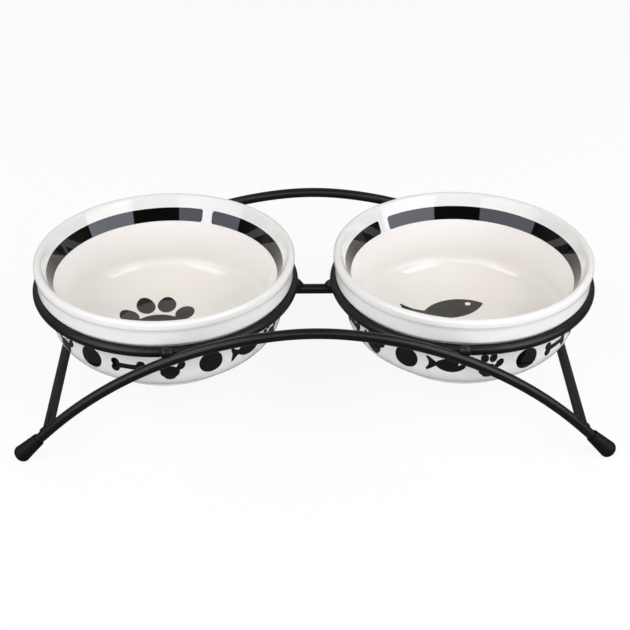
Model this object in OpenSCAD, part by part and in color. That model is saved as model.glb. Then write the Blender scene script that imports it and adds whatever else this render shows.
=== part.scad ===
// Two stoneware bowls that drop into the rings of a welded wire stand.
// X runs along the stand, the front is at -Y, and Z = 0 is the floor.

/* [Stand] */
// Clear distance between the two rims, or between the rings where those are wider
bowl_gap = 18.6; // [8:0.2:40]
// Diameter of the wire that the stand is bent from
wire_d = 5.8; // [4.5:0.1:7]
// Diameter of each ring, measured to the centre of its wire
ring_d = 148; // [142:0.2:152]
// Height of the rings above the floor, to the centre of the wire
ring_h = 67.7; // [64:0.1:80]
// How far the crown of each arch rises above the rings
crown_rise = 15.2; // [10:0.1:20]
// Bend radius of the arch at its crown
crown_r = 159; // [140:1:220]
// Half of the angle that the crown's bend covers
crown_a = 6.2; // [4:0.2:18]
// Distance from the middle of a bowl out to where the feet rest on the floor
foot_out = 76.9; // [70:0.1:95]
// Length of the straight leg below the flank's bend, down to the rounding of its cap
leg_l = 23.8; // [18:0.1:60]
// Gap between an arch and the rings that the weld nugget fills
arch_gap = 0.3; // [0.3:0.1:2]
// Gap left under and beside a butted wire, filled by its weld bead
seam = 0.2; // [0.1:0.1:0.6]
// Length of bare leg left between a side bar's weld and the foot cap
bar_gap = 1.3; // [0.5:0.1:8]

/* [Foot caps] */
// Diameter of a cap at its mouth
cap_mouth_d = 7.4; // [7:0.1:9]
// Diameter of a cap near the floor
cap_end_d = 9.8; // [9:0.1:12]
// Length of a cap
cap_len = 17.4; // [15:0.2:20]
// Rounding of the cap's closed end
cap_round = 3.4; // [2:0.1:4]
// Length of wire that a cap holds
cap_grip = 11.6; // [8:0.2:13]
// How much of a cap is pressed flat where it meets the floor
cap_flat = 0.4; // [0.2:0.1:1]

/* [Bowls] */
// How far the rolled lip stands out past the middle of the ring's wire
rim_over = 1; // [0.3:0.1:4]
// Thickness of the rolled lip
lip_d = 4.5; // [3.5:0.1:6]
// Height of the rolled lip on its outside
lip_h = 5.9; // [4.5:0.1:8]
// Radius of the hollow under the lip
groove_r = 6.5; // [3:0.1:10]
// Width of the rim, from its outside in to the top of the black band
rim_w = 6.9; // [6:0.1:9]
// Height of the rim above the ring that carries the bowl
rim_rise = 18.7; // [15:0.1:26]
// Height of a bowl from its foot to its rim
bowl_h = 61.3; // [50:0.1:70]
// How far the band that sits on the ring stays inside the middle of the ring's wire
band_in = 0.1; // [0:0.1:1]
// How far the belly stays inside the middle of the ring's wire
belly_in = 7; // [5:0.1:12]
// Depth from the rim down to the top of the black band inside
glaze_drop = 7; // [5:0.1:9]
// Height of the black band
glaze_h = 7.5; // [5:0.1:9]
// How far the black band leans in over its height
glaze_in = 3.4; // [1:0.1:5]
// Height from the ring down to the widest part of the belly
belly_drop = 18; // [14:0.5:22]
// Height of the foot ring's outer face, up to where the belly starts
foot_h = 3.5; // [1:0.1:6]
// Diameter of the foot
foot_d = 92; // [84:1:98]
// Width of the unglazed foot ring
foot_w = 4.5; // [3:0.1:7]
// Depth of the recess inside the foot ring
foot_recess = 2; // [1:0.1:3]
// Wall thickness at the belly
wall = 6; // [4.5:0.1:7]
// Floor thickness
floor_t = 6; // [4.5:0.1:8]
// Diameter of the flat floor inside
floor_d = 68; // [50:1:80]
// Running gap between a bowl and its ring
seat_gap = 0.3; // [0.2:0.05:0.5]

/* [Hidden] */
$fn = 96;
bend_fn = 360;                               // segments to a full turn of a wide bend
wire_fn = 48;                                // sides of a bent wire
wire_r = wire_d / 2;
joint_d = 1.02 * wire_d;                     // collar where two lengths meet, a hair thicker than the wire
joint_l = wire_r / 3;
joint_in = joint_l / 5;                      // how far inside the collar each length stops
ring_r = ring_d / 2;
rim_d = ring_d + 2 * rim_over;
bowl_x = (max(rim_d, ring_d + wire_d) + bowl_gap) / 2;
cut_over = 2;                                // overrun of a cut past the face that it opens

// The arch's centreline: a crown bend, a flank bend on each side and two straight legs
arch_y = ring_r + wire_d + arch_gap;
crown_z = ring_h + crown_rise;
bend_x = crown_r * sin(crown_a);
bend_z = crown_z - crown_r * (1 - cos(crown_a));

// The flank's bend and the leg's slope follow from where the foot rests and how long the leg is: the middle
// of the cap's corner circle lies on a line beside the leg that touches a bend round the same centre
foot_x = bowl_x + foot_out;
corner_z = cap_round - cap_flat;
cap_axis_in = cap_end_d / 2 - cap_round;
run = foot_x - bend_x;
fall = bend_z - corner_z;
flank_r = (pow(run, 2) + pow(fall, 2) - pow(cap_axis_in, 2) - pow(leg_l, 2))
    / (2 * (fall * cos(crown_a) - run * sin(crown_a) - cap_axis_in));
flank_x = bend_x - flank_r * sin(crown_a);
flank_z = bend_z - flank_r * cos(crown_a);
leg_a = atan2(foot_x - flank_x, corner_z - flank_z) - atan2(leg_l, flank_r - cap_axis_in);
leg_x = flank_x + flank_r * sin(leg_a);
leg_z = flank_z + flank_r * cos(leg_a);

// The cap's corner circle dips cap_flat below the floor, and the cap is cut off there
cap_mouth_up = cap_len - cap_round;          // from the corner circle up the leg to the cap's mouth
cap_mouth_x = foot_x + cap_axis_in * sin(leg_a) - cap_mouth_up * cos(leg_a);
cap_mouth_z = corner_z + cap_axis_in * cos(leg_a) + cap_mouth_up * sin(leg_a);
leg_len = leg_l - cap_mouth_up + cap_grip;

// Height of the arch's wire at a distance x from the middle
function arch_z(x) =
    x < bend_x ? crown_z - crown_r + sqrt(pow(crown_r, 2) - pow(x, 2))
    : x < leg_x ? flank_z + sqrt(pow(flank_r, 2) - pow(x - flank_x, 2))
    : leg_z - (x - leg_x) * tan(leg_a);

// Half way between where the arch passes ring height and where the ring comes furthest forward
level_x = flank_x + sqrt(pow(flank_r, 2) - pow(ring_h - flank_z, 2));
nugget_x = (level_x + bowl_x) / 2;
nugget_ring_y = sqrt(pow(ring_r, 2) - pow(bowl_x - nugget_x, 2));
nugget_r = 1.12 * wire_r;
nugget_l = 1.4 * wire_d;
nugget_z = (ring_h + arch_z(nugget_x)) / 2 + 0.9 * wire_r;

// The bridge lies under both rings, its ends level with the inner edge of their wire
bridge_z = ring_h - wire_d - seam;
bridge_l = 2 * (bowl_x - ring_r + wire_r);
bridge_bead_r = 1.05 * wire_r;
bridge_bead_l = 1.8 * wire_d;

// The side bars butt against the legs of the two arches, their welds just above the caps
bar_bead_r = wire_r;
bar_bead_l = 1.1 * wire_d;
bar_up = bar_gap + bar_bead_l / 2 + wire_r;  // from the cap's mouth up the leg to the bar
bar_x = cap_mouth_x - bar_up * cos(leg_a);
bar_z = arch_z(bar_x);
bar_l = 2 * (arch_y - wire_r - seam);

// Where the bowl's shoulder sits on the ring, at 45 degrees on the wire
seat_r = ring_r - (wire_r + seat_gap) * cos(45);
seat_z = ring_h + (wire_r + seat_gap) * sin(45);
neck_r = seat_r - wire_r;
neck_z = seat_z - (seat_r - neck_r);
rim_z = ring_h + rim_rise;
foot_z = rim_z - bowl_h;
belly_r = ring_r - belly_in;
belly_z = ring_h - belly_drop;
belly_a = acos(foot_d / 2 / belly_r);        // how far round its oval the belly reaches down to the foot
belly_h = (belly_z - foot_z - foot_h) / sin(belly_a);
lip_r = lip_d / 2;
lip_x = rim_d / 2 - lip_r;
lip_z = rim_z - lip_r;
lip_low_z = rim_z - lip_h + lip_r;
band_r = ring_r - band_in;
band_z = seat_z + (band_r - seat_r);
band_round = lip_r / 2;
groove_x = band_r + groove_r;
groove_a = acos((groove_x - lip_x) / (lip_r + groove_r)); // how far below level the hollow leaves the lip
groove_z = lip_low_z - (lip_r + groove_r) * sin(groove_a);
throat_r = rim_d / 2 - rim_w;                // where the black band starts
glaze_z = rim_z - glaze_drop;
throat_run = [throat_r - lip_x, glaze_z - lip_z];
throat_a = atan2(throat_run[1], throat_run[0]);
lip_end_a = 360 + throat_a - acos(lip_r / norm(throat_run)); // how far round the lip its inner side starts
glaze_end_r = throat_r - glaze_in;
glaze_end_z = glaze_z - glaze_h;
inner_r = belly_r - wall;
floor_z = foot_z + foot_recess + floor_t;
inner_h = (belly_z - floor_z) / sqrt(1 - pow(floor_d / 2 / inner_r, 2)); // half height of the oval inside

// Points along an arc of radius r round [x, z]
function arc(x, z, r, from, to, n) =
    [for (i = [0 : n]) let (a = from + (to - from) * i / n) [x + r * cos(a), z + r * sin(a)]];
// Points along an oval with half axes rx and rz round [0, z]
function oval(z, rx, rz, from, to, n) =
    [for (i = [0 : n]) let (a = from + (to - from) * i / n) [rx * cos(a), z + rz * sin(a)]];
// Points along an S curve from p to q that leaves p straight up and turns towards q
function flare(p, q, n) =
    [for (i = [1 : n]) let (s = i / n) [p[0] + (q[0] - p[0]) * (1 - cos(90 * s)), p[1] + (q[1] - p[1]) * s]];

function outer_line() = concat(
    [[foot_d / 2 - foot_w, foot_z + foot_recess], [foot_d / 2 - foot_w, foot_z], [foot_d / 2, foot_z]],
    oval(belly_z, belly_r, belly_h, -belly_a, 0, 24),
    flare([belly_r, belly_z], [neck_r, neck_z], 10),
    arc(band_r - band_round, band_z + band_round * tan(22.5), band_round, -45, 0, 4),
    arc(groove_x, groove_z, groove_r, 180, 180 - groove_a, 4),
    arc(lip_x, lip_low_z, lip_r, -groove_a, 0, 6),
    arc(lip_x, lip_z, lip_r, 0, lip_end_a, 20)
);

function inner_line() = concat(
    [[throat_r, glaze_z], [glaze_end_r, glaze_end_z]],
    [for (i = [1 : 10]) let (s = i / 10)
        [inner_r + (glaze_end_r - inner_r) * pow(1 - s, 2), glaze_end_z + (belly_z - glaze_end_z) * s]],
    oval(belly_z, inner_r, inner_h, -3, -acos(floor_d / 2 / inner_r), 24),
    [[0, floor_z], [0, foot_z + foot_recess]]
);

module bowl() {
    color("ivory")
        translate([bowl_x, 0, 0])
            rotate_extrude()
                polygon(concat(outer_line(), inner_line()));
}

// A closed hoop round one bowl
module ring() {
    color("#202022")
        translate([bowl_x, 0, ring_h])
            rotate_extrude($fn = bend_fn)
                translate([ring_r, 0])
                    circle(d = wire_d, $fn = wire_fn);
}

// A bend of wire in the arch's plane, centred on [x, z], from one angle to another
module bend(x, z, r, from, to) {
    translate([x, 0, z])
        rotate([90, 0, 0])
            rotate([0, 0, from])
                rotate_extrude(angle = to - from, $fn = bend_fn)
                    translate([r, 0])
                        circle(d = wire_d, $fn = wire_fn);
}

// Angle that a length l takes up on a bend of radius r
function turn(l, r) = l / r * 180 / PI;

module collar(x, z, slope) {
    translate([x, 0, z])
        rotate([0, 90 + slope, 0])
            cylinder(d = joint_d, h = joint_l, center = true);
}

module flank_bend() {
    short = turn(joint_in, flank_r);
    bend(flank_x, flank_z, flank_r, 90 - leg_a + short, 90 - crown_a - short);
}

// The flank's bend and the straight leg under it, with a collar at the top of each
module flank() {
    collar(bend_x, bend_z, crown_a);
    flank_bend();
    collar(leg_x, leg_z, leg_a);
    translate([leg_x, 0, leg_z])
        rotate([0, 90 + leg_a, 0])
            translate([0, 0, joint_in])
                cylinder(d = wire_d, h = leg_len - joint_in);
}

// One arch from foot to foot
module arch() {
    short = turn(joint_in, crown_r);
    color("#202022")
        translate([0, -arch_y, 0]) {
            bend(0, crown_z - crown_r, crown_r, 90 - crown_a + short, 90 + crown_a - short);
            for (side = [0, 1])
                mirror([side, 0, 0])
                    flank();
        }
}

module bridge() {
    color("#202022")
        translate([0, 0, bridge_z])
            rotate([0, 90, 0])
                cylinder(d = wire_d, h = bridge_l, center = true);
}

module side_bar() {
    color("#202022")
        translate([bar_x, 0, bar_z])
            rotate([90, 0, 0])
                cylinder(d = wire_d, h = bar_l, center = true);
}

// A rounded drop of weld metal, turned about Z, with length l and radius r
module bead(l, r) {
    rotate_extrude()
        polygon(concat([for (i = [0 : 12]) let (a = -90 + 15 * i) [r * cos(a), l / 2 * sin(a)]]));
}

// Weld metal between the arch and the ring at the front right
module ring_weld() {
    color("#2a2a2c")
        difference() {
            translate([nugget_x, -(nugget_ring_y + arch_y) / 2, nugget_z])
                rotate([0, 90, 0])
                    bead(nugget_l, nugget_r);
            ring();
            translate([0, -arch_y, 0])
                flank_bend();
        }
}

// Weld metal in the corner over the bridge and outside the right ring
module bridge_weld() {
    color("#2a2a2c")
        difference() {
            translate([bowl_x - ring_r - 7 / 8 * wire_r, 0, bridge_z + wire_r + seam])
                rotate([0, 45, 0])
                    bead(bridge_bead_l, bridge_bead_r);
            ring();
            bridge();
        }
}

// Weld metal in the outer corner between the right side bar and the front leg
module bar_weld() {
    color("#2a2a2c")
        difference() {
            translate([bar_x + wire_r * cos(leg_a), -(arch_y - wire_r), bar_z - wire_r * sin(leg_a)])
                rotate([0, 90 + leg_a, 0])
                    bead(bar_bead_l, bar_bead_r);
            side_bar();
            translate([0, -arch_y, 0])
                flank();
        }
}

// A moulded cap over the foot of the front right leg, cut flat on the floor
module cap() {
    color("#141415")
        difference() {
            translate([cap_mouth_x, -arch_y, cap_mouth_z])
                rotate([0, 90 + leg_a, 0])
                    difference() {
                        rotate_extrude()
                            polygon(concat(
                                [[0, 0], [cap_mouth_d / 2, 0], [cap_mouth_d / 2, wire_r / 2]],
                                arc(cap_axis_in, cap_len - cap_round, cap_round, 0, 75, 8),
                                [[0, cap_len]]));
                        translate([0, 0, -cut_over])
                            cylinder(d = wire_d, h = cap_grip + cut_over);
                    }
            translate([cap_mouth_x, -arch_y - cap_len, -2 * cap_len])
                cube([2 * cap_len, 2 * cap_len, 2 * cap_len]);
        }
}

// The right and front copies are drawn as modelled, the left and rear ones mirrored
module left() {
    mirror([1, 0, 0]) children();
}

module rear() {
    mirror([0, 1, 0]) children();
}

left() bowl();  // left_bowl
bowl();  // right_bowl
left() ring();  // left_ring
ring();  // right_ring
arch();  // front_arch
rear() arch();  // rear_arch
bridge();  // ring_bridge
left() side_bar();  // left_side_bar
side_bar();  // right_side_bar
left() cap();  // front_left_cap
cap();  // front_right_cap
rear() left() cap();  // rear_left_cap
rear() cap();  // rear_right_cap
left() ring_weld();  // front_left_ring_weld
ring_weld();  // front_right_ring_weld
rear() left() ring_weld();  // rear_left_ring_weld
rear() ring_weld();  // rear_right_ring_weld
left() bridge_weld();  // left_bridge_weld
bridge_weld();  // right_bridge_weld
left() bar_weld();  // front_left_bar_weld
bar_weld();  // front_right_bar_weld
rear() left() bar_weld();  // rear_left_bar_weld
rear() bar_weld();  // rear_right_bar_weld
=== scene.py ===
import bpy
import bmesh
import numpy as np
from mathutils import Matrix


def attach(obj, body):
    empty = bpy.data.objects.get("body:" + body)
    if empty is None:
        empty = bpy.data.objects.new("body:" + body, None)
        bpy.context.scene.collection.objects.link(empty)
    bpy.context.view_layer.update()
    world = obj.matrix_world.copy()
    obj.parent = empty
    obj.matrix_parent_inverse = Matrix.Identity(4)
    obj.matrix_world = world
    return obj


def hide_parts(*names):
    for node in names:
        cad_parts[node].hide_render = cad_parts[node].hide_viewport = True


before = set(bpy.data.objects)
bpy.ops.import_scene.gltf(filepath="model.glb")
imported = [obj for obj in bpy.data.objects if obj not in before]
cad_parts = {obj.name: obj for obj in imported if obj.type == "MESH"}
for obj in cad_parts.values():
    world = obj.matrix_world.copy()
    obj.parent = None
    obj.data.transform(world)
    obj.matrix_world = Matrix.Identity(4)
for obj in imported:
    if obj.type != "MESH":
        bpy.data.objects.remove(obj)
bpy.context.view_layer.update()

MM = 0.001


# The two rings
# Hoops of 5.8 mm steel wire, butt welded shut and powder coated satin black with the rest of the stand.
# Each hoop carries a bowl under its shoulder, so it shows all round, below the bowl's white band.
WIRE_R, RING_R, RING_Z, RING_GAP = 2.9, 74.0, 67.7, 18.6
CUT_ROUND, WIRE_SIDES, RING_STEPS = 0.12 * WIRE_R, 40, 180
BOWL_X = RING_R + WIRE_R + RING_GAP / 2
HANDS = (("left", -1), ("right", 1))


def grid_piece(name, points, uv=None, marks=None):
    """Mesh from an n by m grid of points in millimetres: four neighbours make a face, points that
    coincide are merged, so a grid closes on itself, and faces are turned outwards. uv is n by m by 2,
    and marks holds n by m arrays that become point attributes of the same names."""
    n, m = points.shape[:2]
    index = np.arange(n * m).reshape(n, m)
    quads = np.stack([index[:-1, :-1], index[1:, :-1], index[1:, 1:], index[:-1, 1:]], axis=-1).reshape(-1, 4)
    mesh = bpy.data.meshes.new(name)
    mesh.from_pydata((points.reshape(-1, 3) * MM).tolist(), [], quads.tolist())
    for key, values in (marks or {}).items():
        layer = mesh.attributes.new(key, "FLOAT", "POINT")
        layer.data.foreach_set("value", values.reshape(-1).astype(np.float32))
    if uv is not None:
        layer = mesh.uv_layers.new(name="wrap")
        layer.data.foreach_set("uv", uv.reshape(-1, 2)[quads.reshape(-1)].reshape(-1).astype(np.float32))
    work = bmesh.new()
    work.from_mesh(mesh)
    bmesh.ops.remove_doubles(work, verts=work.verts, dist=1e-7)
    bmesh.ops.dissolve_degenerate(work, edges=work.edges, dist=1e-8)
    bmesh.ops.recalc_face_normals(work, faces=work.faces)
    work.to_mesh(mesh)
    work.free()
    mesh.shade_smooth()
    piece = bpy.data.objects.new(name, mesh)
    bpy.context.scene.collection.objects.link(piece)
    return piece


def wire(name, path, side, closed=False):
    """Round wire along a path (n by 3) that lies in the plane square to side. At each point the circle
    is WIRE_R * (cos a * out + sin a * side), where out is side crossed with the path's direction. An
    open wire ends in a flat face with its edge rounded by CUT_ROUND."""
    side = np.asarray(side, float)
    if closed:
        run = np.roll(path, -1, 0) - np.roll(path, 1, 0)
        rows = np.append(np.arange(len(path)), 0)
        size = np.full(len(rows), WIRE_R)
        step = np.zeros(len(rows))
    else:
        run = np.gradient(path, axis=0)
        turn = np.radians([0, 30, 60, 90])
        ends = np.concatenate([[0], WIRE_R - CUT_ROUND + CUT_ROUND * np.sin(turn)])
        back = np.concatenate([[0], CUT_ROUND * (1 - np.cos(turn))])
        inner = np.arange(1, len(path) - 1)
        rows = np.concatenate([np.zeros(len(ends), int), inner, np.full(len(ends), len(path) - 1)])
        size = np.concatenate([ends, np.full(len(inner), WIRE_R), ends[::-1]])
        step = np.concatenate([back, np.zeros(len(inner)), -back[::-1]])
    path, run = path[rows], run[rows]
    run = run / np.linalg.norm(run, axis=1, keepdims=True)
    out = np.cross(side, run)
    a = np.linspace(0, 2 * np.pi, WIRE_SIDES + 1)
    a[-1] = 0
    points = (path + run * step[:, None])[:, None, :] + size[:, None, None] * (
        np.cos(a)[None, :, None] * out[:, None, :] + np.sin(a)[None, :, None] * side)
    return grid_piece(name, points)


def new_look(name):
    """A material with its nodes, its links and its main shader."""
    look = bpy.data.materials.new(name)
    look.use_nodes = True
    tree = look.node_tree
    return look, tree.nodes, tree.links, tree.nodes["Principled BSDF"]


def noise(nodes, links, scale, detail):
    """Noise in the object's own coordinates, with features of about 1 / scale of a metre."""
    where = nodes.new("ShaderNodeTexCoord")
    texture = nodes.new("ShaderNodeTexNoise")
    texture.inputs["Scale"].default_value = scale
    texture.inputs["Detail"].default_value = detail
    links.new(where.outputs["Object"], texture.inputs["Vector"])
    return texture.outputs["Fac"]


def bump(nodes, links, height, strength, distance):
    """Normal of a surface that height raises and lowers by about distance, in metres."""
    relief = nodes.new("ShaderNodeBump")
    relief.inputs["Strength"].default_value = strength
    relief.inputs["Distance"].default_value = distance
    links.new(height, relief.inputs["Height"])
    return relief.outputs["Normal"]


def ramp(nodes, links, value, *stops):
    """Colour that follows value between two stops, each a value and the colour there."""
    blend = nodes.new("ShaderNodeValToRGB")
    for element, (position, colour) in zip(blend.color_ramp.elements, stops):
        element.position = position
        element.color = (*colour, 1)
    links.new(value, blend.inputs["Fac"])
    return blend.outputs["Color"]


def powder_coat():
    """Satin black powder coat: near-black with a faint cool cast, a fine orange-peel bump and patches
    that are slightly glossier."""
    look, nodes, links, skin = new_look("powder_coat")
    skin.inputs["Specular IOR Level"].default_value = 0.37
    patches = noise(nodes, links, 60, 4)
    gloss = nodes.new("ShaderNodeMapRange")
    gloss.inputs["To Min"].default_value = 0.30
    gloss.inputs["To Max"].default_value = 0.42
    links.new(patches, gloss.inputs["Value"])
    links.new(gloss.outputs["Result"], skin.inputs["Roughness"])
    tone = ramp(nodes, links, patches, (0.3, (0.0014, 0.0014, 0.0017)), (0.7, (0.0024, 0.0024, 0.0029)))
    links.new(tone, skin.inputs["Base Color"])
    peel = bump(nodes, links, noise(nodes, links, 1400, 3), 0.35, 0.00012)
    links.new(peel, skin.inputs["Normal"])
    return look


black_coat = powder_coat()
lap = np.linspace(0, 2 * np.pi, RING_STEPS, endpoint=False)
for hand, sign in HANDS:
    circle = np.stack([sign * BOWL_X + RING_R * np.cos(lap), RING_R * np.sin(lap), RING_Z + 0 * lap], 1)
    hoop = wire(f"{hand}_ring_wire", circle, (0, 0, 1), closed=True)
    hoop.data.materials.append(black_coat)
    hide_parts(f"{hand}_ring")
    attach(hoop, "stand")


# The front and rear arches
# One length of the same wire each, bent to a tighter crown and two wide flanks that run out into
# straight sloping legs. They stand upright, a hair outside the rings.
ARCH_GAP, CROWN_RISE, CROWN_R, CROWN_A = 0.3, 15.2, 159.0, np.radians(6.2)
LEG_L, TOE_OUT = 23.8, 76.9
CAP_MOUTH_R, CAP_END_R, CAP_L, CAP_ROUND, CAP_FLAT, CAP_GRIP = 3.7, 4.9, 17.4, 3.4, 0.4, 11.6
ARCH_Y = RING_R + 2 * WIRE_R + ARCH_GAP
CROWN_Z = RING_Z + CROWN_RISE
BEND_X = CROWN_R * np.sin(CROWN_A)
BEND_Z = CROWN_Z - CROWN_R * (1 - np.cos(CROWN_A))

# The toe is the centre of a foot cap's rounded corner, and lies TOE_IN from the line of the leg. The
# flank's radius and the leg's slope are those that bring a leg of LEG_L past the toe at that distance.
# MOUTH_WAY is how far down the leg the cap's mouth sits.
TOE_X = BOWL_X + TOE_OUT
TOE_Z = CAP_ROUND - CAP_FLAT
TOE_IN = CAP_END_R - CAP_ROUND
RUN = TOE_X - BEND_X
FALL = BEND_Z - TOE_Z
FLANK_R = (RUN ** 2 + FALL ** 2 - TOE_IN ** 2 - LEG_L ** 2) / (
    2 * (FALL * np.cos(CROWN_A) - RUN * np.sin(CROWN_A) - TOE_IN))
FLANK_X = BEND_X - FLANK_R * np.sin(CROWN_A)
FLANK_Z = BEND_Z - FLANK_R * np.cos(CROWN_A)
LEG_A = np.arctan2(TOE_X - FLANK_X, TOE_Z - FLANK_Z) - np.arctan2(LEG_L, FLANK_R - TOE_IN)
MOUTH_WAY = LEG_L - (CAP_L - CAP_ROUND)
ENDS = (("front", -1), ("rear", 1))


def on_leg(way):
    """Place in x and z on the line of a leg, way mm beyond the end of its bend."""
    return (FLANK_X + FLANK_R * np.sin(LEG_A) + way * np.cos(LEG_A),
            FLANK_Z + FLANK_R * np.cos(LEG_A) - way * np.sin(LEG_A))


def arch_line():
    """Centreline of an arch in x and z: an arc of CROWN_R over the middle, an arc of FLANK_R on each
    side from CROWN_A to LEG_A, and a straight leg along the last tangent."""
    crown = np.linspace(0, CROWN_A, 8)
    flank = np.linspace(CROWN_A, LEG_A, 42)[1:]
    leg_x, leg_z = on_leg(np.linspace(0, MOUTH_WAY + CAP_GRIP, 7)[1:])
    x = np.concatenate([CROWN_R * np.sin(crown), FLANK_X + FLANK_R * np.sin(flank), leg_x])
    z = np.concatenate([CROWN_Z - CROWN_R * (1 - np.cos(crown)), FLANK_Z + FLANK_R * np.cos(flank), leg_z])
    return np.concatenate([-x[:0:-1], x]), np.concatenate([z[:0:-1], z])


line_x, line_z = arch_line()
for end, sign in ENDS:
    line = np.stack([line_x, sign * ARCH_Y + 0 * line_x, line_z], 1)
    arch = wire(f"{end}_arch_wire", line, (0, 1, 0))
    arch.data.materials.append(black_coat)
    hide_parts(f"{end}_arch")
    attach(arch, "stand")


# The bridge between the rings and the two side bars
# Short straight lengths of the same wire, cut square: one under both rings where they come closest,
# and one on each side between the legs of the two arches, a little above the foot caps.
SEAM, BAR_ABOVE_CAP = 0.2, 7.39
BRIDGE_Z = RING_Z - 2 * WIRE_R - SEAM
BRIDGE_L = 2 * (BOWL_X - RING_R + WIRE_R)
BAR_WAY = MOUTH_WAY - BAR_ABOVE_CAP
BAR_X, BAR_Z = on_leg(BAR_WAY)
BAR_L = 2 * (ARCH_Y - WIRE_R - SEAM)

span = np.linspace(-0.5, 0.5, 9)[:, None]
straights = [("ring_bridge", span * (BRIDGE_L, 0, 0) + (0, 0, BRIDGE_Z))]
straights += [(f"{hand}_side_bar", span * (0, BAR_L, 0) + (sign * BAR_X, 0, BAR_Z)) for hand, sign in HANDS]
for node, path in straights:
    rod = wire(f"{node}_wire", path, (0, 0, 1))
    rod.data.materials.append(black_coat)
    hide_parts(node)
    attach(rod, "stand")


# The weld metal
# Drops of weld in the corners where the wires meet, lumpy and a little rippled, coated over with the
# same powder coat. A nugget joins arch and ring, a fillet bridge and ring, and a bead side bar and leg.
NUGGET_HALF, NUGGET_R = 4.05, 3.25
FILLET_HALF, FILLET_R = 5.2, 2.95
BEAD_HALF, BEAD_R = 3.1, 2.85
RIPPLE = 0.05

LEVEL_X = FLANK_X + np.sqrt(FLANK_R ** 2 - (RING_Z - FLANK_Z) ** 2)
NUGGET_X = (LEVEL_X + BOWL_X) / 2
NUGGET_Y = (np.sqrt(RING_R ** 2 - (BOWL_X - NUGGET_X) ** 2) + ARCH_Y) / 2
NUGGET_RAISE = 0.9 * WIRE_R
NUGGET_Z = (RING_Z + FLANK_Z + np.sqrt(FLANK_R ** 2 - (NUGGET_X - FLANK_X) ** 2)) / 2 + NUGGET_RAISE
FILLET_OUT = 7 / 8 * WIRE_R
FILLET_X = BOWL_X - RING_R - FILLET_OUT
FILLET_Z = BRIDGE_Z + WIRE_R + SEAM
BEAD_X, BEAD_Z = on_leg(BAR_WAY + WIRE_R)


def weld_bead(name, centre, along, half, radius, seed):
    """Drop of weld: an ovoid with its long axis along `along`, square to y (half its length is `half`),
    whose radius swells and shrinks in a few ripples: half * sin v along the axis and
    radius * cos v * (1 + ripple) round it."""
    along = np.asarray(along, float) / np.linalg.norm(along)
    up = np.cross(along, (0, 1, 0))
    over = np.cross(along, up)
    v = np.linspace(-np.pi / 2, np.pi / 2, 25)[:, None]
    u = np.linspace(0, 2 * np.pi, 33)[None, :]
    ripple = np.sin(5 * v + seed) * np.cos(v) + np.cos(2 * u + seed) + 0.6 * np.cos(3 * u - 2 * seed)
    width = radius * np.cos(v) * (1 + RIPPLE * ripple) / (1 + RIPPLE)
    width[0], width[-1] = 0, 0
    length = half * np.sin(v) + 0 * u
    turn = np.where(u > 2 * np.pi - 1e-9, 0, u)
    points = (np.asarray(centre, float) + length[..., None] * along
              + (width * np.cos(turn))[..., None] * up + (width * np.sin(turn))[..., None] * over)
    return grid_piece(name, points)


for end, y_sign in ENDS:
    for hand, x_sign in HANDS:
        seed = 1.7 * x_sign + 0.9 * y_sign
        nugget = weld_bead(f"{end}_{hand}_ring_weld_metal", (x_sign * NUGGET_X, y_sign * NUGGET_Y, NUGGET_Z),
                           (1, 0, 0), NUGGET_HALF, NUGGET_R, seed)
        bead = weld_bead(f"{end}_{hand}_bar_weld_metal",
                         (x_sign * BEAD_X, y_sign * (ARCH_Y - WIRE_R), BEAD_Z),
                         (x_sign * np.cos(LEG_A), 0, -np.sin(LEG_A)), BEAD_HALF, BEAD_R, seed + 1)
        drops = [(f"{end}_{hand}_ring_weld", nugget), (f"{end}_{hand}_bar_weld", bead)]
        if end == "front":
            fillet = weld_bead(f"{hand}_bridge_weld_metal", (x_sign * FILLET_X, 0, FILLET_Z),
                               (x_sign, 0, 1), FILLET_HALF, FILLET_R, seed + 2)
            drops.append((f"{hand}_bridge_weld", fillet))
        for node, drop in drops:
            drop.data.materials.append(black_coat)
            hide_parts(node)
            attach(drop, "stand")


# The four foot caps
# Moulded black rubber sleeves pushed over the ends of the arches, wider towards the floor, with a
# rounded end that the weight presses flat.
CAP_SHOWN, CAP_TUCK, CAP_FLARE, CAP_SIDES = 3.0, 0.05, 1.1, 48
CAP_X, CAP_Z = on_leg(MOUTH_WAY)


def cap_profile():
    """Radius and distance from the mouth: up the inside from CAP_SHOWN deep, where it is CAP_TUCK inside
    the wire, over a small rounded lip, along the taper, whose radius grows as the distance to the power
    CAP_FLARE, to the rounded end, and across the end to the axis."""
    lip = np.radians(np.linspace(180, 0, 9))
    lip_r = (CAP_MOUTH_R - WIRE_R) / 2
    corner = np.radians(np.linspace(8, 90, 16))
    taper = np.linspace(0.03, 0.97, 24)
    r = np.concatenate([[WIRE_R - CAP_TUCK, WIRE_R], WIRE_R + lip_r + lip_r * np.cos(lip),
                        CAP_MOUTH_R + (CAP_END_R - CAP_MOUTH_R) * taper ** CAP_FLARE,
                        CAP_END_R - CAP_ROUND + CAP_ROUND * np.cos(corner), [0]])
    t = np.concatenate([[CAP_SHOWN, CAP_SHOWN / 2], lip_r * (1 - np.sin(lip)),
                        lip_r + (CAP_L - CAP_ROUND - lip_r) * taper,
                        CAP_L - CAP_ROUND + CAP_ROUND * np.sin(corner), [CAP_L]])
    return r, t


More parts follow.
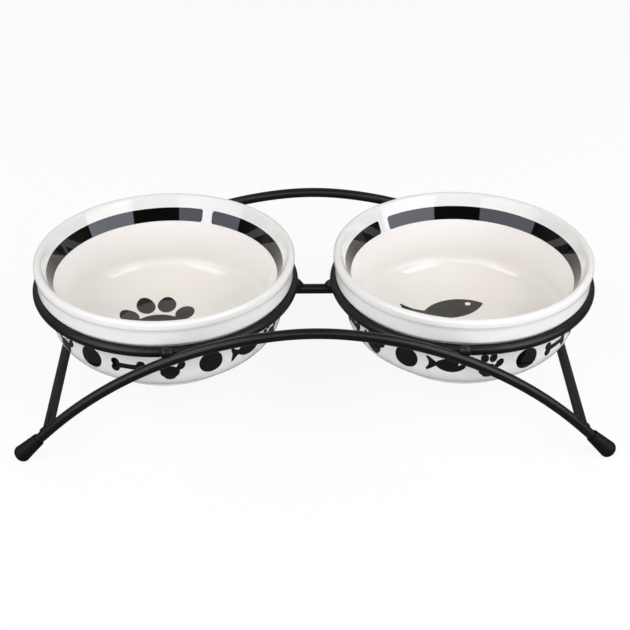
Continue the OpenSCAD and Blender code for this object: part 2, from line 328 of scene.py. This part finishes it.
def rubber():
    """Moulded rubber: matt near-black with a fine grain, and a trace of grey dust in the grain."""
    look, nodes, links, skin = new_look("foot_rubber")
    skin.inputs["Roughness"].default_value = 0.55
    skin.inputs["Specular IOR Level"].default_value = 0.20
    grain = noise(nodes, links, 900, 5)
    dust = ramp(nodes, links, grain, (0.42, (0.0018, 0.0018, 0.0019)), (0.75, (0.0048, 0.0048, 0.0048)))
    links.new(dust, skin.inputs["Base Color"])
    links.new(bump(nodes, links, grain, 0.5, 0.00012), skin.inputs["Normal"])
    return look


black_rubber = rubber()
cap_r, cap_t = cap_profile()
cap_lap = np.linspace(0, 2 * np.pi, CAP_SIDES + 1)
cap_lap[-1] = 0
for end, y_sign in ENDS:
    for hand, x_sign in HANDS:
        down = np.array([x_sign * np.cos(LEG_A), 0, -np.sin(LEG_A)])
        over = np.array([x_sign * np.sin(LEG_A), 0, np.cos(LEG_A)])
        points = (np.array([x_sign * CAP_X, y_sign * ARCH_Y, CAP_Z]) + cap_t[:, None, None] * down
                  + cap_r[:, None, None] * (np.cos(cap_lap)[None, :, None] * over
                                            + np.sin(cap_lap)[None, :, None] * np.array([0, 1, 0])))
        points[..., 2] = np.maximum(points[..., 2], 0)
        cap = grid_piece(f"{end}_{hand}_rubber_cap", points)
        cap.data.materials.append(black_rubber)
        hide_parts(f"{end}_{hand}_cap")
        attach(cap, "stand")


# The two bowls
# Thick stoneware, jiggered in one piece: a rolled lip, a straight band below it, a shoulder that drops
# into the ring, a round belly and a ground foot. White gloss glaze outside and warm cream inside,
# with a black glaze band under the lip and black printed figures on the floor and round the belly.
RIM_OVER, RIM_RISE, BOWL_H = 1.0, 18.7, 61.3
LIP_R, LIP_H, HOLLOW_R = 2.25, 5.9, 6.5
BAND_IN, BAND_ROUND = 0.1, 2.2
RIM_R = RING_R + RIM_OVER
RIM_Z = RING_Z + RIM_RISE
BAND_R = RING_R - BAND_IN

# The shoulder is a slope of 45 degrees that passes the ring's wire with a small gap.
SEAT_GAP, NECK_ROUND = 0.3, 3.0
SEAT_R = RING_R - (WIRE_R + SEAT_GAP) * np.sqrt(0.5)
SEAT_Z = RING_Z + (WIRE_R + SEAT_GAP) * np.sqrt(0.5)
NECK_R = SEAT_R - WIRE_R
NECK_Z = SEAT_Z - WIRE_R

# The belly is a quarter of an oval that the foot cuts off, and the foot is hollowed underneath. Inside
# UNDER_R the hollow's flat is one plain fan of faces.
BELLY_IN, BELLY_DROP = 7.0, 18.0
FOOT_R, FOOT_H, FOOT_W, RECESS, UNDER_R = 46.0, 3.5, 4.5, 2.0, 38.5
RECESS_ROUND, FOOT_IN_ROUND, FOOT_OUT_ROUND = 1.2, 0.7, 0.9
BELLY_R = RING_R - BELLY_IN
BELLY_Z = RING_Z - BELLY_DROP
FOOT_Z = RIM_Z - BOWL_H
FOOT_A = np.arccos(FOOT_R / BELLY_R)
BELLY_H = (BELLY_Z - FOOT_Z - FOOT_H) / np.sin(FOOT_A)

# Inside are the black stripe on the sloping throat, a wall that falls to the belly's height, and an oval
# down to the flat floor.
RIM_W, STRIPE_DROP, STRIPE_H, STRIPE_IN, THROAT_ROUND = 6.9, 7.0, 7.5, 3.4, 5.0
WALL, FLOOR_T, FLOOR_R, FLOOR_ROUND = 6.0, 6.0, 34.0, 45.0
STRIPE_R1 = RIM_R - RIM_W
STRIPE_Z1 = RIM_Z - STRIPE_DROP
STRIPE_R2 = STRIPE_R1 - STRIPE_IN
STRIPE_Z2 = STRIPE_Z1 - STRIPE_H
INNER_R = BELLY_R - WALL
FLOOR_Z = FOOT_Z + RECESS + FLOOR_T
FLOOR_A = np.arccos(FLOOR_R / INNER_R)
INNER_H = (BELLY_Z - FLOOR_Z) / np.sin(FLOOR_A)

# Steps of the mesh: in radians at the start of an arc, in mm along the outline, and their number round
# a bowl
FIRST_STEP, LONGEST_STEP, LAP_STEPS = 0.06, 1.3, 360


def softened(points, radii, count=7):
    """Outline through points whose corners are rounded: a corner with radius q starts and ends
    q * tan(turn / 2) from it, and the curve between is a quadratic that the corner pulls."""
    out = []
    for i, (p, q) in enumerate(zip(points, radii)):
        p = np.asarray(p, float)
        if q == 0 or i in (0, len(points) - 1):
            out.append(p)
            continue
        a, b = np.asarray(points[i - 1], float) - p, np.asarray(points[i + 1], float) - p
        la, lb = np.linalg.norm(a), np.linalg.norm(b)
        turn = np.pi - np.arccos(np.clip(a @ b / la / lb, -1, 1))
        cut = min(q * np.tan(turn / 2), 0.48 * la, 0.48 * lb)
        for t in np.linspace(0, 1, count):
            out.append((1 - t) ** 2 * (p + a / la * cut) + 2 * t * (1 - t) * p + t ** 2 * (p + b / lb * cut))
    return np.array(out)


def bowl_profile():
    """Closed half section of a bowl from the middle of its underside, over the foot, belly, shoulder,
    band and lip, down the inside wall to the middle of its floor, in radius and height."""
    belly = np.linspace(-FOOT_A, 0, 30)
    oval = np.stack([BELLY_R * np.cos(belly), BELLY_Z + BELLY_H * np.sin(belly)], 1)
    rise = np.linspace(0, 1, 12)[1:-1, None]
    flare = np.hstack([BELLY_R + (NECK_R - BELLY_R) * (1 - np.cos(rise * np.pi / 2)),
                       BELLY_Z + (NECK_Z - BELLY_Z) * rise])
    lip_x, lip_z, low_z = RIM_R - LIP_R, RIM_Z - LIP_R, RIM_Z - LIP_H + LIP_R
    hollow_x = BAND_R + HOLLOW_R
    hollow_a = np.arccos((hollow_x - lip_x) / (LIP_R + HOLLOW_R))
    hollow_z = low_z - (LIP_R + HOLLOW_R) * np.sin(hollow_a)
    a = np.linspace(np.pi, np.pi - hollow_a, 9)
    hollow = np.stack([hollow_x + HOLLOW_R * np.cos(a), hollow_z + HOLLOW_R * np.sin(a)], 1)
    inward, down = STRIPE_R1 - lip_x, STRIPE_Z1 - lip_z
    leave = np.arctan2(down, inward) % (2 * np.pi) - np.arccos(LIP_R / np.hypot(inward, down))
    a = np.concatenate([np.linspace(-hollow_a, 0, 9), np.linspace(FIRST_STEP, leave, 26)])
    lip = np.stack([lip_x + LIP_R * np.cos(a), np.where(a <= 0, low_z, lip_z) + LIP_R * np.sin(a)], 1)
    recess_z, recess_r = FOOT_Z + RECESS, FOOT_R - FOOT_W
    outer = softened([(0, recess_z), (UNDER_R, recess_z), (recess_r, recess_z), (recess_r, FOOT_Z),
                      (FOOT_R, FOOT_Z), oval[0]], [0, 0, RECESS_ROUND, FOOT_IN_ROUND, FOOT_OUT_ROUND, 0])
    fall = np.linspace(0, 1, 26)[1:, None]
    wall = np.hstack([INNER_R + (STRIPE_R2 - INNER_R) * (1 - fall) ** 2,
                      STRIPE_Z2 + (BELLY_Z - STRIPE_Z2) * fall])
    dip = np.linspace(-FIRST_STEP, -FLOOR_A, 26)
    hollow_in = np.stack([INNER_R * np.cos(dip), BELLY_Z + INNER_H * np.sin(dip)], 1)
    band_z = SEAT_Z + BAND_R - SEAT_R
    shoulder = softened([flare[-1], (NECK_R, NECK_Z), (BAND_R, band_z), hollow[0]],
                        [0, NECK_ROUND, BAND_ROUND, 0], 9)
    stripe = softened([lip[-1], (STRIPE_R1, STRIPE_Z1), (STRIPE_R2, STRIPE_Z2), wall[2]],
                      [0, 0, THROAT_ROUND, 0])
    floor = softened([hollow_in[-2], (FLOOR_R, FLOOR_Z), (0, FLOOR_Z)], [0, FLOOR_ROUND, 0], 13)
    line = np.vstack([outer, oval[1:], flare[:-1], shoulder, hollow[1:], lip[1:], stripe[1:], wall[3:],
                      hollow_in[:-2], floor])
    return line[np.concatenate([[True], np.linalg.norm(np.diff(line, axis=0), axis=1) > 1e-4])]


def even(line, longest):
    """The same outline with points added, so that no two neighbours are further apart than longest."""
    out = [line[0]]
    for p, q in zip(line[:-1], line[1:]):
        parts = int(np.ceil(np.linalg.norm(q - p) / longest))
        out += [p + (q - p) * k / parts for k in range(1, parts + 1)]
    return np.array(out)


def disc(x, y, cx, cy, r):
    """How deep a point lies inside a disc, in mm: its radius less the distance from its centre."""
    return r - np.hypot(x - cx, y - cy)


def turned(x, y, cx, cy, angle):
    """Coordinates in a frame at (cx, cy) that is turned by angle."""
    c, s = np.cos(angle), np.sin(angle)
    return (x - cx) * c + (y - cy) * s, (y - cy) * c - (x - cx) * s


def egg(x, y, cx, cy, rx, ry, tilt=0.0):
    """Depth inside an oval turned by tilt: (1 - distance in units of its half axes) * the smaller one."""
    u, v = turned(x, y, cx, cy, tilt)
    return (1 - np.hypot(u / rx, v / ry)) * min(rx, ry)


def bar(x, y, ax, ay, bx, by, r):
    """Depth inside a round-ended bar from a to b: r less the distance from the line between them."""
    t = np.clip(((x - ax) * (bx - ax) + (y - ay) * (by - ay)) / ((bx - ax) ** 2 + (by - ay) ** 2), 0, 1)
    return r - np.hypot(x - ax - t * (bx - ax), y - ay - t * (by - ay))


def pawprint(x, y, size):
    """A pad and four toes, size mm tall."""
    k = size / 20
    parts = [egg(x, y, 0, -3.4 * k, 6.4 * k, 5.0 * k), disc(x, y, 0, -6.0 * k, 4.2 * k)]
    for side in (-1, 1):
        parts.append(egg(x, y, side * 7.6 * k, 1.6 * k, 2.5 * k, 3.5 * k, -side * 0.45))
        parts.append(egg(x, y, side * 2.9 * k, 6.2 * k, 2.6 * k, 3.8 * k, -side * 0.12))
    return np.maximum.reduce(parts)


def fish(x, y, size):
    """A fish swimming towards +x, size mm long: a body between two arcs, a forked tail and an eye left
    bare."""
    k = size / 30
    body = np.minimum(disc(x, y, 3 * k, -9 * k, 15 * k), disc(x, y, 3 * k, 9 * k, 15 * k))
    tail = np.minimum(np.minimum(x + 15 * k, -7 * k - x), 0.75 * (-x - 7.2 * k) + 1.6 * k - np.abs(y))
    tail = np.minimum(tail, -disc(x, y, -19 * k, 0, 6 * k))
    return np.minimum(np.maximum(body, tail), -disc(x, y, 9.5 * k, 1.3 * k, 1.1 * k))


def bone(x, y, size):
    """A bone along x, size mm long: a bar with two knobs at each end."""
    k = size / 24
    knobs = [disc(x, y, sx * 9 * k, sy * 2.5 * k, 3.0 * k) for sx in (-1, 1) for sy in (-1, 1)]
    return np.maximum.reduce([bar(x, y, -9 * k, 0, 9 * k, 0, 2.0 * k)] + knobs)


def dot(x, y, size):
    """A plain round dot, size mm across."""
    return disc(x, y, 0, 0, size / 2)


# The row round the belly has eighteen places, which six figures of the given sizes fill in turn. ROW_START
# is the place at the bowl's right. The figure on the floor has a place in x and y, a turn and a size.
ROW_PLACES, ROW_Z, ROW_LOW = 18, 52.0, 30.0
ROW = ((pawprint, 17), (dot, 14), (fish, 23), (pawprint, 17), (dot, 14), (bone, 20))
ROW_START = {"left": 4.748, "right": 1.606}
FLOOR_FIGURE = {"left": (pawprint, -8, 14, 0.12, 44), "right": (fish, -6, 21, 0.3, 50)}
FLOOR_FIGURE_TOP = 60.0
NO_INK = -9.0

# The black stripe has one break, with the direction it lies in and half its width, and round corners. The
# white turns to cream from CREAM_RISE above its lower edge, and the foot is bare to the height GROUND_H.
GAP_ANGLE = {"left": np.radians(71.4), "right": np.radians(130.1)}
GAP_HALF = {"left": 3.1, "right": 3.6}
STRIPE_ROUND = 1.2
CREAM_RISE, CREAM_FADE = 0.3, 1.5
GROUND_H = 0.35


def row_depth(angle, z, start):
    """Depth inside the nearest figure of the row round the belly. The place is the angle as a share of a
    full turn times ROW_PLACES, plus start, and x runs along the belly from the middle of the place."""
    place = (angle / (2 * np.pi) * ROW_PLACES + start) % ROW_PLACES
    turn = np.floor(place).astype(int) % len(ROW)
    x = (place - np.floor(place) - 0.5) * 2 * np.pi * BELLY_R / ROW_PLACES
    depth = np.full(x.shape, NO_INK)
    for k, (figure, size) in enumerate(ROW):
        depth = np.where(turn == k, figure(x, z - ROW_Z, size), depth)
    return depth


def stripe_depth(x, y, z, hand):
    """Depth inside the black stripe: the smaller of the depths from its two edges and, on the side where
    the break is, from the break, with the corners there rounded by STRIPE_ROUND."""
    stripe = np.minimum(STRIPE_Z1 - z, z - STRIPE_Z2)
    ahead, across = turned(x, y, 0, 0, GAP_ANGLE[hand])
    beside = np.abs(across) - GAP_HALF[hand]
    inside = np.minimum(stripe, beside)
    corner = np.hypot(np.maximum(STRIPE_ROUND - stripe, 0), np.maximum(STRIPE_ROUND - beside, 0))
    return np.where(ahead > 0, np.minimum(inside, STRIPE_ROUND - corner), stripe)


def blend(nodes, links, factor, a, b):
    """Colour between a and b by factor. Either is a colour or the output of another node."""
    mix = nodes.new("ShaderNodeMix")
    mix.data_type = "RGBA"
    links.new(factor, mix.inputs["Factor"])
    for key, colour in (("A", a), ("B", b)):
        if isinstance(colour, tuple):
            mix.inputs[key].default_value = (*colour, 1)
        else:
            links.new(colour, mix.inputs[key])
    return mix.outputs["Result"]


def glaze():
    """Gloss glaze over a pale body: white or cream by the attribute warm, black where the attribute ink
    is above nought, a clear glassy coat over all, faint cloudiness in the colour and a very slight
    waviness in the surface."""
    look, nodes, links, skin = new_look("glaze")
    skin.inputs["Roughness"].default_value = 0.30
    skin.inputs["Coat Weight"].default_value = 1.0
    skin.inputs["Coat Roughness"].default_value = 0.035
    skin.inputs["Coat IOR"].default_value = 1.5
    skin.inputs["Specular IOR Level"].default_value = 0.0
    warm = nodes.new("ShaderNodeAttribute")
    warm.attribute_name = "warm"
    ink = nodes.new("ShaderNodeAttribute")
    ink.attribute_name = "ink"
    edge = nodes.new("ShaderNodeMapRange")
    edge.inputs["From Min"].default_value = -0.06
    edge.inputs["From Max"].default_value = 0.06
    links.new(ink.outputs["Fac"], edge.inputs["Value"])
    cloud = noise(nodes, links, 38, 5)
    white = blend(nodes, links, cloud, (0.785, 0.770, 0.737), (0.815, 0.798, 0.762))
    cream = blend(nodes, links, cloud, (0.87, 0.828, 0.778), (0.89, 0.855, 0.815))
    ground = blend(nodes, links, warm.outputs["Fac"], white, cream)
    printed = blend(nodes, links, edge.outputs["Result"], ground, (0.0022, 0.0022, 0.0022))
    links.new(printed, skin.inputs["Base Color"])
    wave = bump(nodes, links, noise(nodes, links, 55, 2), 0.25, 0.0002)
    links.new(wave, skin.inputs["Coat Normal"])
    return look


def bisque():
    """Unglazed stoneware where the foot is ground: sandy off-white, matt, with small dark specks."""
    look, nodes, links, skin = new_look("bisque")
    skin.inputs["Roughness"].default_value = 0.85
    specks = noise(nodes, links, 700, 6)
    sand = ramp(nodes, links, specks, (0.33, (0.36, 0.30, 0.24)), (0.45, (0.66, 0.61, 0.54)))
    links.new(sand, skin.inputs["Base Color"])
    links.new(bump(nodes, links, specks, 0.6, 0.0001), skin.inputs["Normal"])
    return look


white_glaze, raw_foot = glaze(), bisque()
outline = bowl_profile()
outline = np.vstack([outline[:1], even(outline[1:], LONGEST_STEP)])
is_inside = (np.arange(len(outline)) > np.argmax(outline[:, 1]))[:, None]
bowl_r, bowl_z = outline[:, :1], outline[:, 1:]
bowl_lap = np.linspace(0, 2 * np.pi, LAP_STEPS + 1)[None, :]
lap_closed = np.where(bowl_lap > 2 * np.pi - 1e-9, 0, bowl_lap)
for hand, sign in HANDS:
    x, y = bowl_r * np.cos(lap_closed), bowl_r * np.sin(lap_closed)
    z = bowl_z + 0 * bowl_lap
    points = np.stack([x + sign * BOWL_X, y, z], -1)
    figure, figure_x, figure_y, figure_turn, figure_size = FLOOR_FIGURE[hand]
    motif = figure(*turned(x, y, figure_x, figure_y, figure_turn), figure_size)
    motif = np.where(z < FLOOR_FIGURE_TOP, motif, NO_INK)
    row = row_depth(lap_closed + 0 * z, z, ROW_START[hand])
    row = np.where((z > ROW_LOW) & (z < SEAT_Z), row, NO_INK)
    ink = np.where(is_inside, np.maximum(stripe_depth(x, y, z, hand), motif), row)
    warm = np.where(is_inside, np.clip((STRIPE_Z2 + CREAM_RISE - z) / CREAM_FADE, 0, 1), 0)
    uv = np.stack([bowl_lap / (2 * np.pi) + 0 * z, np.linspace(0, 1, len(outline))[:, None] + 0 * z], -1)
    bowl = grid_piece(f"{hand}_bowl_stoneware", points, uv, {"ink": ink, "warm": warm})
    bowl.data.materials.append(white_glaze)
    bowl.data.materials.append(raw_foot)
    centres = np.zeros(len(bowl.data.polygons) * 3)
    bowl.data.polygons.foreach_get("center", centres)
    centres = centres.reshape(-1, 3) / MM
    away = np.hypot(centres[:, 0] - sign * BOWL_X, centres[:, 1])
    ground_off = (centres[:, 2] < FOOT_Z + GROUND_H) & (away < FOOT_R)
    bowl.data.polygons.foreach_set("material_index", ground_off.astype(np.int32))
    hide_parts(f"{hand}_bowl")
    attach(bowl, f"{hand}_bowl")


# The studio
# A pale floor that runs out of sight, a soft box on each side in front, a long strip and a pair of boxes
# above them, and a pair behind that only fill. The surroundings are white to the camera, and otherwise
# lit behind the object and dim in front of it.
FLOOR_HALF, FLOOR_DROP = 6000, 0.2
LIT_SPOT = (0, 0, 0.05)
scene = bpy.context.scene
scene.view_settings.view_transform = "Standard"


def clear_ray(nodes, links):
    """The kinds of ray, and a value that is 1 for rays straight from the camera or through clear things."""
    ray = nodes.new("ShaderNodeLightPath")
    clear = nodes.new("ShaderNodeMath")
    clear.operation = "MAXIMUM"
    links.new(ray.outputs["Is Camera Ray"], clear.inputs[0])
    links.new(ray.outputs["Is Transmission Ray"], clear.inputs[1])
    return ray, clear.outputs["Value"]


def pale_floor():
    """Floor: matt and pale where light scatters off it, and dark with a little plain white in gloss. The
    camera sees it as nearly plain white with the object's shadow on it."""
    look = bpy.data.materials.new("pale_floor")
    look.use_nodes = True
    nodes, links = look.node_tree.nodes, look.node_tree.links
    nodes.clear()
    ray, clear = clear_ray(nodes, links)
    bounce = blend(nodes, links, ray.outputs["Is Diffuse Ray"], (0.10, 0.10, 0.10), (0.78, 0.78, 0.77))
    shade = blend(nodes, links, clear, bounce, (0.90, 0.90, 0.90))
    matt = nodes.new("ShaderNodeBsdfDiffuse")
    links.new(shade, matt.inputs["Color"])
    plain = nodes.new("ShaderNodeEmission")
    plain.inputs["Color"].default_value = (1, 1, 1, 1)
    glossy = nodes.new("ShaderNodeMath")
    glossy.operation = "MULTIPLY"
    glossy.inputs[1].default_value = 0.1
    links.new(ray.outputs["Is Glossy Ray"], glossy.inputs[0])
    share = nodes.new("ShaderNodeMath")
    share.operation = "MULTIPLY_ADD"
    share.inputs[1].default_value = 0.88
    links.new(clear, share.inputs[0])
    links.new(glossy.outputs["Value"], share.inputs[2])
    mix = nodes.new("ShaderNodeMixShader")
    links.new(share.outputs["Value"], mix.inputs["Fac"])
    links.new(matt.outputs["BSDF"], mix.inputs[1])
    links.new(plain.outputs["Emission"], mix.inputs[2])
    out = nodes.new("ShaderNodeOutputMaterial")
    links.new(mix.outputs["Shader"], out.inputs["Surface"])
    return look


def surroundings():
    """World: plain white to the camera. The rest of the light grows from a dim grey in front and low down
    to a mid grey behind and overhead: depth times height, each from 0 to 1."""
    world = bpy.data.worlds.new("studio")
    world.use_nodes = True
    nodes, links = world.node_tree.nodes, world.node_tree.links
    nodes.clear()
    where = nodes.new("ShaderNodeTexCoord")
    split = nodes.new("ShaderNodeSeparateXYZ")
    links.new(where.outputs["Generated"], split.inputs["Vector"])
    depth = nodes.new("ShaderNodeMapRange")
    depth.inputs["From Min"].default_value = -0.25
    depth.inputs["From Max"].default_value = 0.45
    links.new(split.outputs["Y"], depth.inputs["Value"])
    height = nodes.new("ShaderNodeMapRange")
    height.inputs["From Max"].default_value = 0.4
    height.inputs["To Min"].default_value = 0.25
    links.new(split.outputs["Z"], height.inputs["Value"])
    both = nodes.new("ShaderNodeMath")
    both.operation = "MULTIPLY"
    links.new(depth.outputs["Result"], both.inputs[0])
    links.new(height.outputs["Result"], both.inputs[1])
    room = nodes.new("ShaderNodeBackground")
    grey = ramp(nodes, links, both.outputs["Value"], (0, (0.03, 0.03, 0.03)), (1, (0.45, 0.45, 0.45)))
    links.new(grey, room.inputs["Color"])
    seen = nodes.new("ShaderNodeBackground")
    seen.inputs["Color"].default_value = (1, 1, 1, 1)
    mix = nodes.new("ShaderNodeMixShader")
    links.new(clear_ray(nodes, links)[1], mix.inputs["Fac"])
    links.new(room.outputs["Background"], mix.inputs[1])
    links.new(seen.outputs["Background"], mix.inputs[2])
    out = nodes.new("ShaderNodeOutputWorld")
    links.new(mix.outputs["Shader"], out.inputs["Surface"])
    return world


def facing(right, up, ahead, place):
    """World matrix of a lamp or a camera at place, in metres, that looks along ahead."""
    matrix = np.eye(4)
    matrix[:3] = np.stack([right, up, -ahead, place], 1)
    return Matrix(matrix.tolist())


def soft_box(name, centre, width, height, radiance, colour=(1, 1, 1), shine=True):
    """Rectangular lamp at centre that faces LIT_SPOT, all in metres. Its power is radiance * pi * area.
    Without shine it lights the object and leaves no reflection on it."""
    data = bpy.data.lights.new(name, "AREA")
    data.shape = "RECTANGLE"
    data.size, data.size_y = width, height
    data.energy = radiance * np.pi * width * height
    data.color = colour
    lamp = bpy.data.objects.new(name, data)
    scene.collection.objects.link(lamp)
    lamp.visible_glossy = shine
    ahead = np.subtract(LIT_SPOT, centre)
    ahead /= np.linalg.norm(ahead)
    right = np.cross(ahead, (0, 0, 1))
    right /= np.linalg.norm(right)
    lamp.matrix_world = facing(right, np.cross(right, ahead), ahead, centre)


edge = np.array([-FLOOR_HALF, FLOOR_HALF])
floor_piece = grid_piece("floor", np.stack([*np.meshgrid(edge, edge), np.full((2, 2), -FLOOR_DROP)], -1))
floor_piece.data.materials.append(pale_floor())
scene.world = surroundings()

COOL, WARM = (0.93, 0.975, 1.10), (1.01, 1.0, 0.985)
soft_box("front_right_box", (0.64, -0.42, 0.34), 0.74, 0.30, 3.5, COOL)
soft_box("front_left_box", (-0.60, -0.54, 0.34), 0.94, 0.34, 2.3, COOL)
soft_box("front_strip", (0.0, -0.90, 0.80), 2.4, 0.42, 1.95, WARM)
for hand, sign in HANDS:
    soft_box(f"upper_{hand}_box", (sign * 0.70, -0.40, 1.0), 0.72, 0.42, 4.25)
for hand, sign in HANDS:
    soft_box(f"rear_{hand}_box", (sign * 0.85, 0.75, 0.34), 0.7, 0.42, 2.8, shine=False)


# The camera
# It looks from 0.87 m away, 32.7 degrees above level, at a point between the bowls 43 mm above the floor,
# and is turned and rolled by less than a degree.
TILT, YAW, ROLL = 0.57005, 0.016004, -0.0025
AWAY, AIM_SIDE, AIM_Z = 865.318, 0.6, 43.392
LENS, SENSOR_W = 83.431, 36.0

ahead = np.array([np.sin(YAW) * np.cos(TILT), np.cos(YAW) * np.cos(TILT), -np.sin(TILT)])
right = np.array([np.cos(YAW), -np.sin(YAW), 0])
up = np.cross(right, ahead)
stand_at = AIM_SIDE * right + (0, 0, AIM_Z) - AWAY * ahead
rolled_right = right * np.cos(ROLL) - up * np.sin(ROLL)
rolled_up = right * np.sin(ROLL) + up * np.cos(ROLL)
lens = bpy.data.cameras.new("camera")
lens.sensor_fit = "HORIZONTAL"
lens.sensor_width = SENSOR_W
lens.lens = LENS
lens.clip_start = 0.01
camera = bpy.data.objects.new("camera", lens)
scene.collection.objects.link(camera)
camera.matrix_world = facing(rolled_right, rolled_up, ahead, stand_at * MM)
scene.camera = camera
